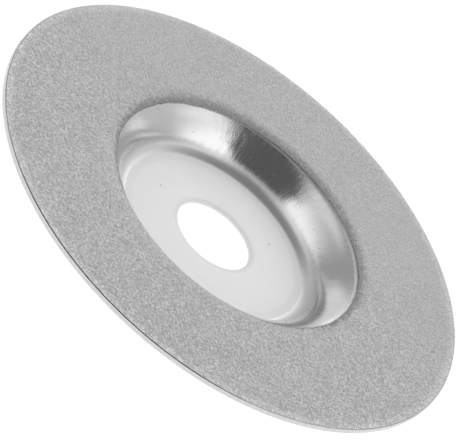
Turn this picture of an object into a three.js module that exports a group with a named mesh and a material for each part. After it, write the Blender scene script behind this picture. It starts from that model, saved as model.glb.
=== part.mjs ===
// Depressed-centre diamond grinding disc for a small angle grinder: a one-piece pressed steel
// core, with a nickel bond plated on its working face and diamond grit held in that bond.
//
// Units are millimetres and +Z is up. The disc lies flat: Z is its spin axis, the back of the
// hub rests on Z = 0 and the gritty working face looks up. The origin is the centre of the bore.

import * as THREE from "three";

// Steel core
const OUTER_DIAMETER = 100;
const BORE_DIAMETER = 16.2;
const SHEET_THICKNESS = 0.8;
const HUB_FLAT_DIAMETER = 39;
const RECESS_DEPTH = 7.4;
const WALL_ANGLE = 67;
const FILLET_RADIUS = 2.2;
const LIP_RADIUS = 9.8;
const BORE_ROLL_WIDTH = 1.5;
const BORE_ROLL_DEPTH = 0.22;
const RIM_EDGE_BREAK = 0.12;

// Plated layers, with heights above the steel. The grit's layer is the part of the grains that
// stands proud of the bond.
const LAYER_GAP = 0.02;
const BOND_TOP = 0.1;
const BOND_RIM_SETBACK = 0.15;
const BOND_WRAP_ANGLE = 23;
const GRIT_TOP = 0.2;
const GRIT_RIM_SETBACK = 0.3;
const GRIT_WRAP_ANGLE = 22;

// Facets
const TURN_SEGMENTS = 64;
const BEND_STEPS = 8;
const WRAP_STEPS = 4;
const ROLL_STEPS = 3;

const outerRadius = OUTER_DIAMETER / 2;
const boreRadius = BORE_DIAMETER / 2;
const hubFlatRadius = HUB_FLAT_DIAMETER / 2;
const wallAngle = THREE.MathUtils.degToRad(WALL_ANGLE);
const rimFront = SHEET_THICKNESS + RECESS_DEPTH;

// The two bends and the straight wall between them make up the recess.
const bendSum = FILLET_RADIUS + LIP_RADIUS;
const wallLength = (RECESS_DEPTH - bendSum * (1 - Math.cos(wallAngle))) / Math.sin(wallAngle);
const wallRun = bendSum * Math.sin(wallAngle) + wallLength * Math.cos(wallAngle);

const filletCentre = new THREE.Vector2(hubFlatRadius, SHEET_THICKNESS + FILLET_RADIUS);
const lipCentre = new THREE.Vector2(hubFlatRadius + wallRun, rimFront - LIP_RADIUS);

const brightSteel = new THREE.MeshStandardMaterial({
  color: 0xd4d5d6,
  roughness: 0.28,
  metalness: 1,
});
const nickel = new THREE.MeshStandardMaterial({
  color: 0xa8a8a6,
  roughness: 0.45,
  metalness: 1,
});
const diamond = new THREE.MeshStandardMaterial({
  color: 0x9a9b9c,
  roughness: 0.8,
  metalness: 0.3,
});

// Points of a profile, as (radius, height), along an elliptical arc about a centre.
function arc(centre, width, height, fromAngle, toAngle, steps) {
  return Array.from({ length: steps + 1 }, (_, i) => {
    const angle = fromAngle + ((toAngle - fromAngle) * i) / steps;
    return new THREE.Vector2(
      centre.x + width * Math.cos(angle),
      centre.y + height * Math.sin(angle),
    );
  });
}

// The fillet at the foot of the wall: it curves up from the hub to the slope of the wall.
function filletArc(radius) {
  const down = -Math.PI / 2;
  return arc(filletCentre, radius, radius, down, down + wallAngle, BEND_STEPS);
}

// The rounded lip: it curves over from the slope fromAngle to the level rim.
function lipArc(radius, fromAngle, steps) {
  const up = Math.PI / 2;
  return arc(lipCentre, radius, radius, up + fromAngle, up, steps);
}

// A closed profile turned about the Z axis. The profiles here run out along the front and
// return along the back, and a lathe's faces look outwards when its profile runs the other way.
function turned(name, profile, material) {
  const closed = [...profile, profile[0]].reverse();
  const geometry = new THREE.LatheGeometry(closed, TURN_SEGMENTS);
  geometry.rotateX(Math.PI / 2);
  const mesh = new THREE.Mesh(geometry, material);
  mesh.name = name;
  return mesh;
}

// One sheet of even thickness: bore with a rolled front edge, hub, wall, lip and rim.
function steelCore() {
  const rollCentre = new THREE.Vector2(
    boreRadius + BORE_ROLL_WIDTH,
    SHEET_THICKNESS - BORE_ROLL_DEPTH,
  );
  const boreRoll = arc(
    rollCentre, BORE_ROLL_WIDTH, BORE_ROLL_DEPTH, Math.PI, Math.PI / 2, ROLL_STEPS,
  );
  const rimBack = rimFront - SHEET_THICKNESS;
  const rimEdge = [
    new THREE.Vector2(outerRadius - RIM_EDGE_BREAK, rimFront),
    new THREE.Vector2(outerRadius, rimFront - RIM_EDGE_BREAK),
    new THREE.Vector2(outerRadius, rimBack + RIM_EDGE_BREAK),
    new THREE.Vector2(outerRadius - RIM_EDGE_BREAK, rimBack),
  ];
  const profile = [
    ...boreRoll,
    ...filletArc(FILLET_RADIUS),
    ...lipArc(LIP_RADIUS, wallAngle, BEND_STEPS),
    ...rimEdge,
    ...lipArc(LIP_RADIUS - SHEET_THICKNESS, wallAngle, BEND_STEPS).reverse(),
    ...filletArc(FILLET_RADIUS + SHEET_THICKNESS).reverse(),
    new THREE.Vector2(boreRadius, 0),
  ];
  return turned("steel_core", profile, brightSteel);
}

// A layer that follows the working face from part of the way over the lip out to the rim,
// between two heights above the steel.
function platedLayer(name, bottom, top, wrapAngle, rimSetback, material) {
  const wrap = THREE.MathUtils.degToRad(wrapAngle);
  const edgeRadius = outerRadius - rimSetback;
  const profile = [
    ...lipArc(LIP_RADIUS + top, wrap, WRAP_STEPS),
    new THREE.Vector2(edgeRadius, rimFront + top),
    new THREE.Vector2(edgeRadius, rimFront + bottom),
    ...lipArc(LIP_RADIUS + bottom, wrap, WRAP_STEPS).reverse(),
  ];
  return turned(name, profile, material);
}

const group = new THREE.Group();
group.add(
  steelCore(),
  platedLayer("nickel_bond", LAYER_GAP, BOND_TOP, BOND_WRAP_ANGLE, BOND_RIM_SETBACK, nickel),
  platedLayer(
    "diamond_grit", BOND_TOP + LAYER_GAP, GRIT_TOP, GRIT_WRAP_ANGLE, GRIT_RIM_SETBACK, diamond,
  ),
);

export default group;
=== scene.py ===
"""A depressed-centre diamond grinding disc, lying face up on a pale studio floor.

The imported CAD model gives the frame. Three fine pieces stand for its three nodes: the pressed steel
core, the nickel bond plated on its face, and the diamond grit held in the bond. Units are metres,
+Z is up and the disc's axis is Z.
"""

import math

import bpy
import numpy as np
from mathutils import Matrix, Vector, noise


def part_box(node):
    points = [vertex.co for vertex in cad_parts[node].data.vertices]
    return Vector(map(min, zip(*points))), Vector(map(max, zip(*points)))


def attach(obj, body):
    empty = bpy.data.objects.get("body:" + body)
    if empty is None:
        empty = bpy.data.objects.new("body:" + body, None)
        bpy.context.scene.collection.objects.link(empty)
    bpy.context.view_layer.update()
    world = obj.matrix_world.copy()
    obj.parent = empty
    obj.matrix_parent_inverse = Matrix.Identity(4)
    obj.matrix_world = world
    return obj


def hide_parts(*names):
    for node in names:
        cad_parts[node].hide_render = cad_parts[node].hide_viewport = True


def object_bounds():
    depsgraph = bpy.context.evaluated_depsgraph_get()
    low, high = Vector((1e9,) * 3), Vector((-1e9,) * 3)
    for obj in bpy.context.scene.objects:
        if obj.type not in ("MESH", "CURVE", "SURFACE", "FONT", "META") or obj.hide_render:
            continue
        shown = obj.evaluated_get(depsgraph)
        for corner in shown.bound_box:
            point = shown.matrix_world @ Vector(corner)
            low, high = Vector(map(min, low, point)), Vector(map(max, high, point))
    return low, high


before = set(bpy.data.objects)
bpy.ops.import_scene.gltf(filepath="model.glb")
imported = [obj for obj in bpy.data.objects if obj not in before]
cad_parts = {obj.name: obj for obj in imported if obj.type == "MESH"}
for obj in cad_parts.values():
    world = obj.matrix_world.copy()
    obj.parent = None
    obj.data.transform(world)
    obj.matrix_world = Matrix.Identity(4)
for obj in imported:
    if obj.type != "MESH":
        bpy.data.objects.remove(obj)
cad_low, cad_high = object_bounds()

MM = 0.001
TURN = 2 * math.pi
UP = math.pi / 2
DOWN = -math.pi / 2

# The pressing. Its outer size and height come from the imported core.
core_low, core_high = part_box("steel_core")
OUTER_RADIUS = core_high.x
RIM_FRONT = core_high.z
HUB_BACK = core_low.z
SHEET = 0.8 * MM
BORE_RADIUS = 8.1 * MM
HUB_FLAT_RADIUS = 19.5 * MM
WALL_ANGLE = math.radians(67)
FILLET_RADIUS = 2.2 * MM
LIP_RADIUS = 9.8 * MM
BORE_ROLL = (1.5 * MM, 0.22 * MM)
EDGE_BREAK = 0.12 * MM
CORE_SEGMENTS = 540

hub_front = HUB_BACK + SHEET
recess_depth = RIM_FRONT - hub_front
bend_sum = FILLET_RADIUS + LIP_RADIUS
wall_length = (recess_depth - bend_sum * (1 - math.cos(WALL_ANGLE))) / math.sin(WALL_ANGLE)
wall_run = bend_sum * math.sin(WALL_ANGLE) + wall_length * math.cos(WALL_ANGLE)
fillet_centre = (HUB_FLAT_RADIUS, hub_front + FILLET_RADIUS)
lip_centre = (HUB_FLAT_RADIUS + wall_run, RIM_FRONT - LIP_RADIUS)

# Marks that the die left up the wall: a walk through a fractal noise, on a circle of this radius for
# one turn of the disc, and this far up for the height of the recess. A fractal is given by its
# increment, lacunarity and octaves.
DRAW_MARK_CIRCLE = 17
DRAW_MARK_RISE = 3
DRAW_MARK_HEIGHT = 0.012 * MM
DRAW_MARK_FRACTAL = (0.8, 2.0, 3)
DRAW_MARK_SLOPE = 0.6

# The coat. Its inner edge is a circle a little off the disc's axis, with a ragged outline.
_, bond_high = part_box("nickel_bond")
_, grit_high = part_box("diamond_grit")
BOND_TOP = bond_high.z - RIM_FRONT
GRIT_TOP = grit_high.z - RIM_FRONT
COAT_SHIFT = 1.2 * MM
COAT_SHIFT_ANGLE = math.radians(48)
COAT_INNER_RADIUS = 26.7 * MM
COAT_RAGGED = 0.16 * MM
COAT_RAGGED_CIRCLE = 9
COAT_RAGGED_FRACTAL = (0.6, 2.0, 5)
COAT_SEED = 11
GRIT_PITCH = 0.245 * MM
GRIT_SETBACK = 0.3 * MM
BOND_PITCH = 0.33 * MM
BOND_SETBACK = 0.15 * MM
BOND_OVERHANG = 0.15 * MM
# A vertex of the coat wanders by up to this share of the pitch, and a power above 1 makes high
# points rare. The base and the relief are shares of the height of the bond.
WANDER = 0.3
HIGH_POINT_POWER = 1.5
BOND_BASE = 0.6
BOND_RELIEF_SHARE = 0.4
GRIT_BASE = 1.15
# The sine of the steepest slope that a point on the lip is carried down to.
STEEPEST_SINE = 0.99

# Nodules of plating on the bare lip. A ring of a nodule is (share of its size across, share in
# height), and a power above 1 gathers the nodules near the coat.
NODULE_COUNT = 260
NODULE_SIDES = 7
NODULE_SIZE = (0.03 * MM, 0.09 * MM)
NODULE_RINGS = ((1.0, -0.15), (0.9, 0.35), (0.5, 0.7))
NODULE_FOOT = -0.15
NODULE_CROWN = 0.8
NODULE_RADIAL_SHARE = 0.8
NODULE_INNER_RADIUS = 21.8 * MM
NODULE_GATHER_POWER = 1.6


# ---------------------------------------------------------------- mesh helpers


def new_object(name, vertices, faces, smooth=True):
    mesh = bpy.data.meshes.new(name)
    mesh.from_pydata(vertices, [], faces)
    mesh.validate()
    mesh.polygons.foreach_set("use_smooth", [smooth] * len(mesh.polygons))
    mesh.update()
    piece = bpy.data.objects.new(name, mesh)
    bpy.context.scene.collection.objects.link(piece)
    return piece


def arc(centre, width, height, start, end, steps):
    """Points (radius, height) along an elliptical arc."""
    angles = [start + (end - start) * i / steps for i in range(steps + 1)]
    return [(centre[0] + width * math.cos(a), centre[1] + height * math.sin(a)) for a in angles]


def bend(centre, radius, start, end, steps):
    """Points (radius, height) along a round arc."""
    return arc(centre, radius, radius, start, end, steps)


def straight(a, b, steps):
    """Points between a and b, without either of them."""
    return [
        (a[0] + (b[0] - a[0]) * i / steps, a[1] + (b[1] - a[1]) * i / steps)
        for i in range(1, steps)
    ]


# ---------------------------------------------------------------- steel core


def core_profile():
    """The closed section of the pressing, out along the front and back along the back."""
    rim_back = RIM_FRONT - SHEET
    edge_radius = OUTER_RADIUS - EDGE_BREAK
    roll_centre = (BORE_RADIUS + BORE_ROLL[0], hub_front - BORE_ROLL[1])
    front_edge_centre = (edge_radius, RIM_FRONT - EDGE_BREAK)
    back_edge_centre = (edge_radius, rim_back + EDGE_BREAK)
    bore_back_centre = (BORE_RADIUS + EDGE_BREAK, HUB_BACK + EDGE_BREAK)
    # The last value of each bend is its number of steps. Beside the bend stands the number of
    # steps in the straight run that leads on to the next one.
    bends = [
        (arc(roll_centre, *BORE_ROLL, math.pi, UP, 14), 6),
        (bend(fillet_centre, FILLET_RADIUS, DOWN, DOWN + WALL_ANGLE, 22), 1),
        (bend(lip_centre, LIP_RADIUS, UP + WALL_ANGLE, UP, 30), 12),
        (bend(front_edge_centre, EDGE_BREAK, UP, 0, 5), 2),
        (bend(back_edge_centre, EDGE_BREAK, 0, DOWN, 5), 8),
        (bend(lip_centre, LIP_RADIUS - SHEET, UP, UP + WALL_ANGLE, 20), 1),
        (bend(fillet_centre, FILLET_RADIUS + SHEET, DOWN + WALL_ANGLE, DOWN, 16), 6),
        (bend(bore_back_centre, EDGE_BREAK, DOWN, -math.pi, 4), 2),
    ]
    profile = []
    for i, (points, run_steps) in enumerate(bends):
        following, _ = bends[(i + 1) % len(bends)]
        profile += points + straight(points[-1], following[0], run_steps)
    return profile


def draw_mark(angle, r, z):
    """How far the die left the wall out of true, in marks that run up the slope.

    Only points over a line that rises from the edge of the hub flat take a mark. They are those of
    the lip, on its front and its back, and of the top of the fillet.
    """
    depth = (z - hub_front) / recess_depth
    over_line = z - hub_front > (r - HUB_FLAT_RADIUS) * DRAW_MARK_SLOPE
    if depth <= 0 or r <= HUB_FLAT_RADIUS or not over_line:
        return 0.0
    across = DRAW_MARK_CIRCLE * math.cos(angle)
    along = DRAW_MARK_CIRCLE * math.sin(angle)
    wave = noise.fractal(Vector((across, along, DRAW_MARK_RISE * depth)), *DRAW_MARK_FRACTAL)
    return DRAW_MARK_HEIGHT * wave * math.sin(math.pi * min(depth, 1))


def steel_core():
    """The section turned about the axis. All faces look inwards."""
    profile = core_profile()
    count = len(profile)
    vertices = []
    faces = []
    for k in range(CORE_SEGMENTS):
        angle = TURN * k / CORE_SEGMENTS
        here = k * count
        there = (k + 1) % CORE_SEGMENTS * count
        for i, (r, z) in enumerate(profile):
            across = r - draw_mark(angle, r, z)
            vertices.append((across * math.cos(angle), across * math.sin(angle), z))
            j = (i + 1) % count
            faces.append((there + i, there + j, here + j, here + i))
    return new_object("steel_core_fine", vertices, faces)


# ---------------------------------------------------------------- plated coat


def coat_inner(angle, radius, seed):
    """Distance from the axis to the coat's ragged, off-centre inner edge."""
    turn = angle - COAT_SHIFT_ANGLE
    circle = COAT_SHIFT * np.cos(turn) + np.sqrt(radius**2 - (COAT_SHIFT * np.sin(turn)) ** 2)
    walk = COAT_RAGGED_CIRCLE
    ragged = [
        noise.fractal(Vector((walk * math.cos(a), walk * math.sin(a), seed)), *COAT_RAGGED_FRACTAL)
        for a in angle
    ]
    return circle + COAT_RAGGED * np.array(ragged)


def on_face(angle, radius, height):
    """Points at a height above the front face of the core, along its normal."""
    sine = np.clip((lip_centre[0] - radius) / LIP_RADIUS, 0, STEEPEST_SINE)
    slope = np.arcsin(sine)
    reach = LIP_RADIUS + height
    r = np.where(sine > 0, lip_centre[0] - reach * np.sin(slope), radius)
    z = np.where(sine > 0, lip_centre[1] + reach * np.cos(slope), RIM_FRONT + height)
    return np.stack([r * np.cos(angle), r * np.sin(angle), z], axis=1)


def zipper(first, second):
    """Triangles that join two rings, each given as its sorted angles and its first vertex.

    With the inner ring first, the triangles face down.
    """
    first_angles, first_start = first
    second_angles, second_start = second
    m, n = len(first_angles), len(second_angles)
    on_first = np.argsort(np.concatenate([first_angles, second_angles]), kind="stable") < m
    i = np.cumsum(on_first) - 1
    j = np.cumsum(~on_first) - 1
    inner = np.stack([i % m, j % n + m, (i - 1) % m], axis=1)
    outer = np.stack([i % m, j % n + m, (j - 1) % n + m], axis=1)
    triangles = np.where(on_first[:, None], inner, outer)
    return np.where(triangles < m, triangles + first_start, triangles - m + second_start)


def coat(pitch, inner_radius, setback, base, relief):
    """A ring of rough triangles that follows the working face, closed underneath by a plain cone.

    The cone runs straight from the inner edge to the rim, behind the face. All faces look inwards.
    """
    rng = np.random.default_rng(COAT_SEED)
    outer = OUTER_RADIUS - setback
    rows = round((outer - inner_radius) / pitch)
    points, rings = [], []
    start = 0
    for row in range(rows + 1):
        share = row / rows
        count = round(TURN * (inner_radius + share * (outer - inner_radius)) / pitch)
        wander = 0.0 if row in (0, rows) else WANDER
        stagger = 0.5 * (row % 2)
        step = np.arange(count) + stagger + wander * rng.uniform(-1, 1, count)
        angle = np.sort(TURN * step / count % TURN)
        across = share + wander / rows * rng.uniform(-1, 1, count)
        inner = coat_inner(angle, inner_radius, COAT_SEED)
        height = base + relief * rng.uniform(0, 1, count) ** HIGH_POINT_POWER
        points.append(on_face(angle, inner + across * (outer - inner), height))
        rings.append((angle, start))
        start += count
    triangles = [zipper(lower, upper) for lower, upper in zip(rings, rings[1:])]

    top_inner, top_outer = rings[0], rings[-1]
    outer_foot = (top_outer[0], start)
    inner_foot = (top_inner[0], start + len(top_outer[0]))
    for angle, radius in (
        (outer_foot[0], np.full(len(outer_foot[0]), outer)),
        (inner_foot[0], coat_inner(inner_foot[0], inner_radius, COAT_SEED)),
    ):
        points.append(on_face(angle, radius, np.zeros(len(angle))))
    triangles.append(zipper(top_outer, outer_foot))
    triangles.append(zipper(inner_foot, top_inner))
    triangles.append(zipper(inner_foot, outer_foot)[:, ::-1])
    return np.concatenate(points), np.concatenate(triangles)


def nodules():
    """Specks of plating thrown onto the bare lip: low domes whose rims are sunk in the steel."""
    rng = np.random.default_rng(COAT_SEED)
    around = TURN * np.arange(NODULE_SIDES) / NODULE_SIDES
    dome = [(0.0, 0.0, NODULE_FOOT), (0.0, 0.0, NODULE_CROWN)]
    for share, height in NODULE_RINGS:
        dome += [(share * math.cos(a), share * math.sin(a), height) for a in around]
    dome = np.array(dome)
    vertices, faces = [], []
    for k in range(NODULE_COUNT):
        angle = rng.uniform(0, TURN)
        limit = coat_inner(np.array([angle]), COAT_INNER_RADIUS, COAT_SEED)[0]
        inward = rng.uniform(0, 1) ** NODULE_GATHER_POWER
        radius = limit - (limit - NODULE_INNER_RADIUS) * inward
        size = rng.uniform(*NODULE_SIZE)
        across, along, height = dome.T * size
        vertices.append(on_face(angle + across / radius, radius + along * NODULE_RADIAL_SHARE, height))
        foot = k * len(dome)
        crown = foot + 1
        first_ring = foot + 2
        last_ring = first_ring + (len(NODULE_RINGS) - 1) * NODULE_SIDES
        for i in range(NODULE_SIDES):
            j = (i + 1) % NODULE_SIDES
            faces.append((foot, first_ring + i, first_ring + j))
            for low in range(first_ring, last_ring, NODULE_SIDES):
                high = low + NODULE_SIDES
                faces.append((low + i, high + i, high + j))
                faces.append((low + i, high + j, low + j))
            faces.append((crown, last_ring + j, last_ring + i))
    return np.concatenate(vertices), np.array(faces)


# ---------------------------------------------------------------- materials


class Graph:
    """Short ways to make and join shader nodes."""

    def __init__(self, tree):
        self.nodes = tree.nodes
        self.links = tree.links

    def feed(self, socket, value):
        if isinstance(value, bpy.types.NodeSocket):
            self.links.new(value, socket)
        else:
            socket.default_value = value

    def math(self, operation, *values):
        node = self.nodes.new("ShaderNodeMath")
        node.operation = operation
        for socket, value in zip(node.inputs, values):
            self.feed(socket, value)
        return node.outputs[0]

    def product(self, first, second):
        return self.math("MULTIPLY", first, second)

    def ramp(self, value, low, high, start=0.0, end=1.0):
        """A smooth step from start to end as value goes from low to high."""
        node = self.nodes.new("ShaderNodeMapRange")
        node.interpolation_type = "SMOOTHSTEP"
        names = ("Value", "From Min", "From Max", "To Min", "To Max")
        for name, given in zip(names, (value, low, high, start, end)):
            self.feed(node.inputs[name], given)
        return node.outputs[0]

    def vary(self, value, start, end):
        """From start to end as a noise goes over the span where most of its values lie."""
        return self.ramp(value, 0.3, 0.7, start, end)

    def window(self, value, low, high, soft):
        """1 between low and high, falling smoothly to 0 at both edges."""
        rise = self.ramp(value, low - soft, low + soft)
        fall = self.ramp(value, high - soft, high + soft, 1.0, 0.0)
        return self.product(rise, fall)

    def blend(self, factor, first, second):
        node = self.nodes.new("ShaderNodeMix")
        node.data_type = "FLOAT"
        for index, given in ((0, factor), (2, first), (3, second)):
            self.feed(node.inputs[index], given)
        return node.outputs[0]

    def place(self):
        """The point in the disc's own frame, in millimetres, and its distance from the axis."""
        scaled = self.nodes.new("ShaderNodeVectorMath")
        scaled.operation = "SCALE"
        self.feed(scaled.inputs[0], self.nodes.new("ShaderNodeTexCoord").outputs["Object"])
        self.feed(scaled.inputs["Scale"], 1 / MM)
        split = self.nodes.new("ShaderNodeSeparateXYZ")
        self.feed(split.inputs[0], scaled.outputs[0])
        x, y, z = split.outputs
        return scaled.outputs[0], x, y, z, self.distance(x, y, (0.0, 0.0))

    def distance(self, x, y, centre):
        """Distance in the plane from a fixed centre."""
        squares = []
        for value, offset in zip((x, y), centre):
            off = self.math("SUBTRACT", value, offset)
            squares.append(self.product(off, off))
        return self.math("SQRT", self.math("ADD", *squares))

    def from_coat_edge(self, x, y):
        """Distance outwards from the coat's inner edge."""
        shift = COAT_SHIFT / MM
        centre = (shift * math.cos(COAT_SHIFT_ANGLE), shift * math.sin(COAT_SHIFT_ANGLE))
        return self.math("SUBTRACT", self.distance(x, y, centre), COAT_INNER_RADIUS / MM)

    def noise(self, place, scale, detail=2.0, roughness=0.5):
        node = self.nodes.new("ShaderNodeTexNoise")
        self.feed(node.inputs["Vector"], place)
        self.feed(node.inputs["Scale"], scale)
        self.feed(node.inputs["Detail"], detail)
        self.feed(node.inputs["Roughness"], roughness)
        return node.outputs[0]

    def cells(self, place, scale):
        """Voronoi cells: the distance from a cell's seed, and two random values of its own."""
        node = self.nodes.new("ShaderNodeTexVoronoi")
        self.feed(node.inputs["Vector"], place)
        self.feed(node.inputs["Scale"], scale)
        own = self.nodes.new("ShaderNodeSeparateColor")
        self.links.new(node.outputs["Color"], own.inputs[0])
        return node.outputs["Distance"], own.outputs[0], own.outputs[1]

    def grey(self, value):
        node = self.nodes.new("ShaderNodeCombineColor")
        for socket in node.inputs:
            if socket.type == "VALUE":
                self.feed(socket, value)
        return node.outputs[0]

    def bump(self, height, distance, normal=None):
        """Relief for a height from 0 to 1, with distance in metres for 1."""
        node = self.nodes.new("ShaderNodeBump")
        self.feed(node.inputs["Height"], height)
        node.inputs["Strength"].default_value = 1.0
        node.inputs["Distance"].default_value = distance
        if normal is not None:
            self.links.new(normal, node.inputs["Normal"])
        return node.outputs[0]


def new_material(name):
    material = bpy.data.materials.new(name)
    material.use_nodes = True
    return material, Graph(material.node_tree), material.node_tree.nodes["Principled BSDF"]


# In the materials, lengths are in millimetres, and a shade is a grey from black (0) to white (1).
# A pair is the two values that a noise moves between.
OUTER_EDGE = OUTER_RADIUS / MM
BORE_EDGE = BORE_RADIUS / MM
FLAT_EDGE = HUB_FLAT_RADIUS / MM
COAT_EDGE = COAT_INNER_RADIUS / MM

# The drawn steel runs from the edge of the flat to under the coat.
DRAWN_OUTER = 40.0
MATTE_SHADE = (0.94, 0.97)
# The next factor is painted shade, darkening the matte flat on the bore's rolled edge.
BORE_ROLL_PAINTED_SHADE = 0.9
# The next factor is painted shade, darkening the outer ring of the flat next to the wall.
WALL_FOOT_PAINTED_SHADE = 0.96
MATTE_METALLIC = 0.05
POLISHED_SHADE = (0.6, 0.64)
FILLET_SHADE = 0.71
PAINTED_FILLET_SHADE = 0.42
# The next shade is painted shade in the fillet's corner, on the far side.
STAIN_SHADE = 0.4
PIT_SHADE = 0.3
CUT_EDGE_SHADE = (0.62, 0.72)
SATIN_ROUGHNESS = (0.66, 0.76)
BURNISHED_ROUGHNESS = (0.1, 0.2)
FILLET_ROUGHNESS = 0.6
STAIN_ROUGHNESS = 0.5
CUT_EDGE_ROUGHNESS = (0.4, 0.55)
STREAKS_AROUND = 34.0
STREAKS_OUTWARDS = 0.35
PIT_SPACING = 0.45
PIT_RADIUS = 0.1
NODULE_RELIEF = 0.012 * MM
STREAK_RELIEF = 0.004 * MM


def cut_edge_zone(graph, z, radius):
    """1 on the sheared outer edge, below its broken front corner."""
    outermost = graph.ramp(radius, OUTER_EDGE - 0.06, OUTER_EDGE - 0.02)
    under_corner = graph.ramp(z, RIM_FRONT / MM - 0.12, RIM_FRONT / MM - 0.06, 1.0, 0.0)
    return graph.product(outermost, under_corner)


def drawing_streaks(graph, x, y, radius):
    """A noise drawn out along the slope."""
    point = graph.nodes.new("ShaderNodeCombineXYZ")
    angle = graph.math("ARCTAN2", y, x)
    graph.feed(point.inputs[0], graph.product(angle, STREAKS_AROUND))
    graph.feed(point.inputs[1], graph.product(radius, STREAKS_OUTWARDS))
    return graph.noise(point.outputs[0], 1.0, 3.0, 0.65)


def stain_zone(graph, x, y, radius):
    """1 where the plating bath left a dull stain next to the coat."""
    beside_coat = graph.window(graph.from_coat_edge(x, y), -0.7, 4.0, 0.5)
    return graph.product(beside_coat, graph.ramp(radius, 26.6, 27.2))


def painted_fillet_shade_zone(graph, y, radius):
    """1 where shade is painted into the fillet's corner, on the far side."""
    in_fillet = graph.window(radius, FLAT_EDGE + 0.5, FLAT_EDGE + 1.8, 0.35)
    far_side = graph.ramp(graph.math("DIVIDE", y, radius), 0.4, 0.9)
    return graph.product(in_fillet, far_side)


def pit_zone(graph, point):
    """1 in the pits in the plating, a few to a square centimetre."""
    distance, size, _ = graph.cells(point, PIT_SPACING)
    pit_radius = graph.ramp(size, 0.55, 1.0, 0.0, PIT_RADIUS)
    return graph.ramp(graph.math("SUBTRACT", distance, pit_radius), -0.06, 0.0, 1.0, 0.0)


def bright_steel():
    """Nickel-plated sheet: satin where it stayed flat, burnished where the die drew it."""
    material, graph, shader = new_material("bright_steel")
    point, x, y, z, radius = graph.place()
    drawn = graph.window(radius, FLAT_EDGE + 0.15, DRAWN_OUTER, 0.25)
    over_back = graph.ramp(z, 0.4, 0.6)
    cut_edge = cut_edge_zone(graph, z, radius)
    stained = stain_zone(graph, x, y, radius)
    fine = graph.noise(point, 2.4, 4.0, 0.6)
    broad = graph.noise(point, 0.11, 2.0)
    streaks = drawing_streaks(graph, x, y, radius)

    burnished = graph.ramp(streaks, 0.35, 0.7, *BURNISHED_ROUGHNESS)
    fillet = graph.ramp(radius, FLAT_EDGE + 1.3, FLAT_EDGE + 2.9, 1.0, 0.0)
    burnished = graph.blend(fillet, burnished, FILLET_ROUGHNESS)
    burnished = graph.blend(stained, burnished, STAIN_ROUGHNESS)
    satin = graph.vary(fine, *SATIN_ROUGHNESS)
    rough = graph.blend(graph.product(drawn, over_back), satin, burnished)
    rough = graph.blend(cut_edge, rough, graph.vary(fine, *CUT_EDGE_ROUGHNESS))
    graph.feed(shader.inputs["Roughness"], rough)

    # Painted shade darkens the matte flat on the bore's rolled edge.
    matte = graph.product(
        graph.vary(broad, *MATTE_SHADE),
        graph.ramp(radius, BORE_EDGE + 0.3, BORE_EDGE + 1.3, BORE_ROLL_PAINTED_SHADE, 1.0),
    )
    # Painted shade darkens the outer ring of the flat, next to the wall.
    painted_wall_foot_shade = graph.ramp(radius, FLAT_EDGE - 1.8, FLAT_EDGE - 1.2, 1.0, WALL_FOOT_PAINTED_SHADE)
    matte = graph.product(matte, painted_wall_foot_shade)
    fillet = graph.ramp(radius, FLAT_EDGE + 1.8, FLAT_EDGE + 2.4, 1.0, 0.0)
    bright = graph.blend(fillet, graph.vary(broad, *POLISHED_SHADE), FILLET_SHADE)
    # Painted shade: the fillet is darker on the far side.
    bright = graph.blend(painted_fillet_shade_zone(graph, y, radius), bright, PAINTED_FILLET_SHADE)
    bright = graph.blend(stained, bright, STAIN_SHADE)
    shade = graph.blend(drawn, matte, bright)
    shade = graph.blend(pit_zone(graph, point), shade, PIT_SHADE)
    shade = graph.blend(cut_edge, shade, graph.ramp(fine, 0.35, 0.65, *CUT_EDGE_SHADE))
    graph.feed(shader.inputs["Base Color"], graph.grey(shade))
    graph.feed(shader.inputs["Metallic"], graph.blend(drawn, MATTE_METALLIC, 1.0))

    # The plating throws fine nodules where it thickens towards the coat.
    lumps = graph.noise(point, 3.2)
    near_coat = graph.window(radius, FLAT_EDGE + 1.2, COAT_EDGE + 1.0, 0.8)
    relief = graph.product(lumps, graph.math("ADD", near_coat, 0.12))
    normal = graph.bump(relief, NODULE_RELIEF)
    normal = graph.bump(streaks, STREAK_RELIEF, normal)
    graph.feed(shader.inputs["Normal"], normal)
    return material


BOND_SHADE = (0.38, 0.52)
BOND_LIP_SHADE = (0.2, 0.42)
BOND_ROUGHNESS = (0.3, 0.5)
BOND_RELIEF = 0.03 * MM
DARK_RIM_SHADE = 0.06
DARK_RIM_PLACE = (-8.0, -49.0)


def nickel():
    """The electroplated bond, dull and slightly lumpy between the grains."""
    material, graph, shader = new_material("nickel")
    point, x, y, _, radius = graph.place()
    lumps = graph.noise(point, 3.5, 3.0, 0.6)
    # The bond is dark along part of the rim, darkest at one place.
    share = graph.math("DIVIDE", graph.distance(x, y, DARK_RIM_PLACE), OUTER_EDGE)
    dark_rim_band = graph.product(
        graph.ramp(share, 0.35, 0.75, 1.0, 0.0),
        graph.ramp(radius, OUTER_EDGE - 0.5, OUTER_EDGE - 0.3),
    )
    shade = graph.blend(dark_rim_band, graph.vary(lumps, *BOND_SHADE), DARK_RIM_SHADE)
    on_lip = graph.ramp(radius, 29.0, 32.0, 1.0, 0.0)
    shade = graph.blend(on_lip, shade, graph.ramp(lumps, 0.35, 0.65, *BOND_LIP_SHADE))
    graph.feed(shader.inputs["Base Color"], graph.grey(shade))
    graph.feed(shader.inputs["Roughness"], graph.vary(lumps, *BOND_ROUGHNESS))
    graph.feed(shader.inputs["Normal"], graph.bump(lumps, BOND_RELIEF))
    shader.inputs["Metallic"].default_value = 1.0
    return material


GRAIN_SHADE = (0.33, 0.68)
BETWEEN_GRAINS_SHADE = 0.42
FAR_SHADE = 0.47
FAR_CONTRAST = 0.3
THIN_AND_SHADE_FACTOR = 0.58
THIN_WIDTH = 1.5
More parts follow.
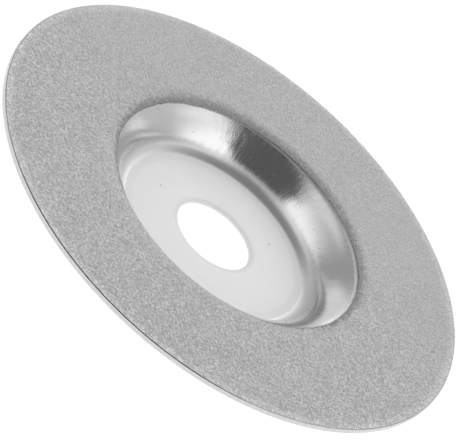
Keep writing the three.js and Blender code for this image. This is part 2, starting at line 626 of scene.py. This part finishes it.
# The gain widens the darker band towards the far side, as painted shade.
FAR_SHADE_WIDTH_GAIN = 0.045
THIN_WIDTH_LEAST = 0.5
THIN_RAGGED = (-0.5, 0.5)
CLOUD_FACTOR = (0.97, 1.03)
RIM_FACTOR = 1.22
GRAIN_METALLIC = 0.15
GRAIN_ROUGHNESS = (0.45, 0.7)
GRAIN_RELIEF = 0.03 * MM


def thinning_and_far_shade(graph, point, x, y):
    """A factor for the lip, where the coat thins out and the dull bond shows between the grains; the
    band widens towards the far side, and that widening is painted shade.
    """
    ragged = graph.vary(graph.noise(point, 0.9, 3.0, 0.7), *THIN_RAGGED)
    from_edge = graph.math("ADD", graph.from_coat_edge(x, y), ragged)
    # Painted shade: the band is wider on the far side of the disc.
    width = graph.math("ADD", graph.product(y, FAR_SHADE_WIDTH_GAIN), THIN_WIDTH)
    width = graph.math("MAXIMUM", width, THIN_WIDTH_LEAST)
    return graph.ramp(from_edge, 0.0, width, THIN_AND_SHADE_FACTOR, 1.0)


def diamond():
    """Grains of diamond, each of its own shade, with nickel drawn up round them."""
    material, graph, shader = new_material("diamond")
    point, x, y, _, radius = graph.place()
    distance, random_shade, random_rough = graph.cells(point, 3.4)
    grain = graph.ramp(random_shade, 0.0, 1.0, *GRAIN_SHADE)
    shade = graph.blend(graph.ramp(distance, 0.35, 0.75), grain, BETWEEN_GRAINS_SHADE)
    # The grit looks more even on the far side of the disc.
    contrast = graph.ramp(y, -10.0, 32.0, 1.0, FAR_CONTRAST)
    shade = graph.blend(contrast, FAR_SHADE, shade)
    shade = graph.product(shade, thinning_and_far_shade(graph, point, x, y))
    shade = graph.product(shade, graph.vary(graph.noise(point, 0.16, 3.0, 0.6), *CLOUD_FACTOR))
    # The grit is lighter towards the rim.
    rim = graph.ramp(radius, OUTER_EDGE - 2.4, OUTER_EDGE - 0.5, 1.0, RIM_FACTOR)
    shade = graph.product(shade, rim)
    graph.feed(shader.inputs["Base Color"], graph.grey(shade))
    graph.feed(shader.inputs["Roughness"], graph.ramp(random_rough, 0.0, 1.0, *GRAIN_ROUGHNESS))
    graph.feed(shader.inputs["Normal"], graph.bump(graph.noise(point, 7.0), GRAIN_RELIEF))
    shader.inputs["Metallic"].default_value = GRAIN_METALLIC
    return material


# ---------------------------------------------------------------- camera, floor and light

CAMERA_TILT = math.radians(57.91)
CAMERA_ROLL = math.radians(-42.19)
CAMERA_DISTANCE = 0.55057
CAMERA_OFFSET = (0.001543, 0.002081)
CAMERA_LENS = 236.11
CAMERA_SENSOR = 36
CAMERA_CLIP = (0.01, 20)

FLOOR_HALF = 6.0
FLOOR_GAP = 0.02 * MM
FLOOR_SHADE = 0.12
FLOOR_GLOW = 0.95


def add_camera():
    """A camera that looks close to the middle of the front face, rolled about its line of sight."""
    target = Vector((0, 0, grit_high.z))
    back = Vector((0, -math.sin(CAMERA_TILT), math.cos(CAMERA_TILT)))
    right = Vector((1, 0, 0))
    up = Vector((0, math.cos(CAMERA_TILT), math.sin(CAMERA_TILT)))
    c, s = math.cos(CAMERA_ROLL), math.sin(CAMERA_ROLL)
    across = c * right - s * up
    along = s * right + c * up
    data = bpy.data.cameras.new("camera")
    data.lens = CAMERA_LENS
    data.sensor_width = CAMERA_SENSOR
    data.clip_start, data.clip_end = CAMERA_CLIP
    camera = bpy.data.objects.new("camera", data)
    place = target + CAMERA_DISTANCE * back - CAMERA_OFFSET[0] * across - CAMERA_OFFSET[1] * along
    turn = Matrix((across, along, back)).transposed().to_4x4()
    camera.matrix_world = Matrix.Translation(place) @ turn
    bpy.context.scene.collection.objects.link(camera)
    bpy.context.scene.camera = camera


def add_floor():
    """A plain pale floor, just under the back of the hub."""
    half = FLOOR_HALF
    z = cad_low.z - FLOOR_GAP
    corners = [(-half, -half, z), (half, -half, z), (half, half, z), (-half, half, z)]
    floor = new_object("floor", corners, [(0, 1, 2, 3)], smooth=False)
    material, _, shader = new_material("floor_white")
    shader.inputs["Base Color"].default_value = (FLOOR_SHADE, FLOOR_SHADE, FLOOR_SHADE, 1)
    shader.inputs["Roughness"].default_value = 1.0
    shader.inputs["Specular IOR Level"].default_value = 0.0
    shader.inputs["Emission Color"].default_value = (1, 1, 1, 1)
    shader.inputs["Emission Strength"].default_value = FLOOR_GLOW
    floor.data.materials.append(material)


# What the studio looks like from the disc. Directions are in degrees: forward runs from the
# zenith (0) towards the camera (90) or away from it (-90), and lateral from -X (-90) to +X (90).
# Each side is (forward from, to, brightness there and there), and the two blend over the laterals
# of the meeting. Each panel is (lateral from, to, forward from, to, softness, brightness), laid over
# the sides.
STUDIO_LEFT = (-40, 60, 0.46, 1.38)
STUDIO_RIGHT = (-50, 35, 0.75, 1.54)
STUDIO_MEETING = (-10, 20)
STUDIO_PANELS = (
    (-120, 120, -130, -62, 8, 0.68),
    (-48, -14, -90, -56, 8, 0.93),
    (-34, -8, -24, 4, 8, 0.95),
    (14, 42, -28, 10, 8, 1.25),
    (28, 46, -92, -66, 6, 1.0),
    (-15, 15, -76, -44, 6, 3.4),
    (-120, -77, -130, 130, 5, 1.0),
    (77, 120, -130, 130, 5, 1.1),
)
# The dark room overhead and behind the camera: a wedge that widens towards the camera. Its half
# width is given at the far end, as a gain for each degree forward, and at its widest.
WEDGE_FORWARD = (-40, 74)
WEDGE_MIDDLE = 5
WEDGE_HALF_WIDTH = (2, 0.4, 30)
WEDGE_SOFT = 5
WEDGE_END_SOFT = 9
WEDGE_BRIGHTNESS = 0.14


def wedge_zone(graph, lateral, forward):
    """1 in the dark wedge."""
    narrowest, gain, widest = WEDGE_HALF_WIDTH
    reach = graph.math("SUBTRACT", forward, WEDGE_FORWARD[0])
    half = graph.math("ADD", graph.product(reach, gain), narrowest)
    half = graph.math("MINIMUM", half, widest)
    off = graph.math("ABSOLUTE", graph.math("SUBTRACT", lateral, WEDGE_MIDDLE))
    outside = graph.math("SUBTRACT", off, half)
    return graph.product(
        graph.ramp(outside, -WEDGE_SOFT, WEDGE_SOFT, 1.0, 0.0),
        graph.window(forward, *WEDGE_FORWARD, WEDGE_END_SOFT),
    )


def add_world():
    """The studio as the disc reflects it. The camera itself sees plain white."""
    world = bpy.data.worlds.new("studio")
    world.use_nodes = True
    graph = Graph(world.node_tree)
    split = graph.nodes.new("ShaderNodeSeparateXYZ")
    graph.feed(split.inputs[0], graph.nodes.new("ShaderNodeTexCoord").outputs["Generated"])
    x, y, z = split.outputs
    lateral = graph.math("DEGREES", graph.math("ARCSINE", x))
    forward = graph.math("DEGREES", graph.math("ARCTAN2", graph.product(y, -1.0), z))
    light = graph.blend(
        graph.ramp(lateral, *STUDIO_MEETING),
        graph.ramp(forward, *STUDIO_LEFT),
        graph.ramp(forward, *STUDIO_RIGHT),
    )
    for left, right, back, front, soft, brightness in STUDIO_PANELS:
        inside = graph.product(
            graph.window(lateral, left, right, soft), graph.window(forward, back, front, soft)
        )
        light = graph.blend(inside, light, brightness)
    light = graph.blend(wedge_zone(graph, lateral, forward), light, WEDGE_BRIGHTNESS)
    seen = graph.nodes.new("ShaderNodeLightPath").outputs["Is Camera Ray"]
    background = graph.nodes["Background"]
    graph.feed(background.inputs["Strength"], graph.blend(seen, light, 1.0))
    background.inputs["Color"].default_value = (1, 1, 1, 1)
    bpy.context.scene.world = world


# ---------------------------------------------------------------- the scene


def nickel_bond():
    """The lumpy layer and its nodules, as one piece."""
    vertices, faces = coat(
        BOND_PITCH,
        COAT_INNER_RADIUS - BOND_OVERHANG,
        BOND_SETBACK,
        BOND_TOP * BOND_BASE,
        BOND_TOP * BOND_RELIEF_SHARE,
    )
    specks, speck_faces = nodules()
    return new_object(
        "nickel_bond_fine",
        np.concatenate([vertices, specks]).tolist(),
        faces.tolist() + (speck_faces + len(vertices)).tolist(),
    )


def diamond_grit():
    """The grains, whose upper side lies between just over the bond and the top of the coat."""
    base = BOND_TOP * GRIT_BASE
    vertices, faces = coat(GRIT_PITCH, COAT_INNER_RADIUS, GRIT_SETBACK, base, GRIT_TOP - base)
    return new_object("diamond_grit_fine", vertices.tolist(), faces.tolist(), smooth=False)


add_camera()
add_floor()
add_world()
bpy.context.scene.view_settings.view_transform = "Standard"

for piece, material, node, slot in (
    (steel_core(), bright_steel(), "steel_core", "core_steel"),
    (nickel_bond(), nickel(), "nickel_bond", "nickel_bond"),
    (diamond_grit(), diamond(), "diamond_grit", "diamond_grit"),
):
    piece.data.materials.append(material)
    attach(piece, "root")
    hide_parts(node)
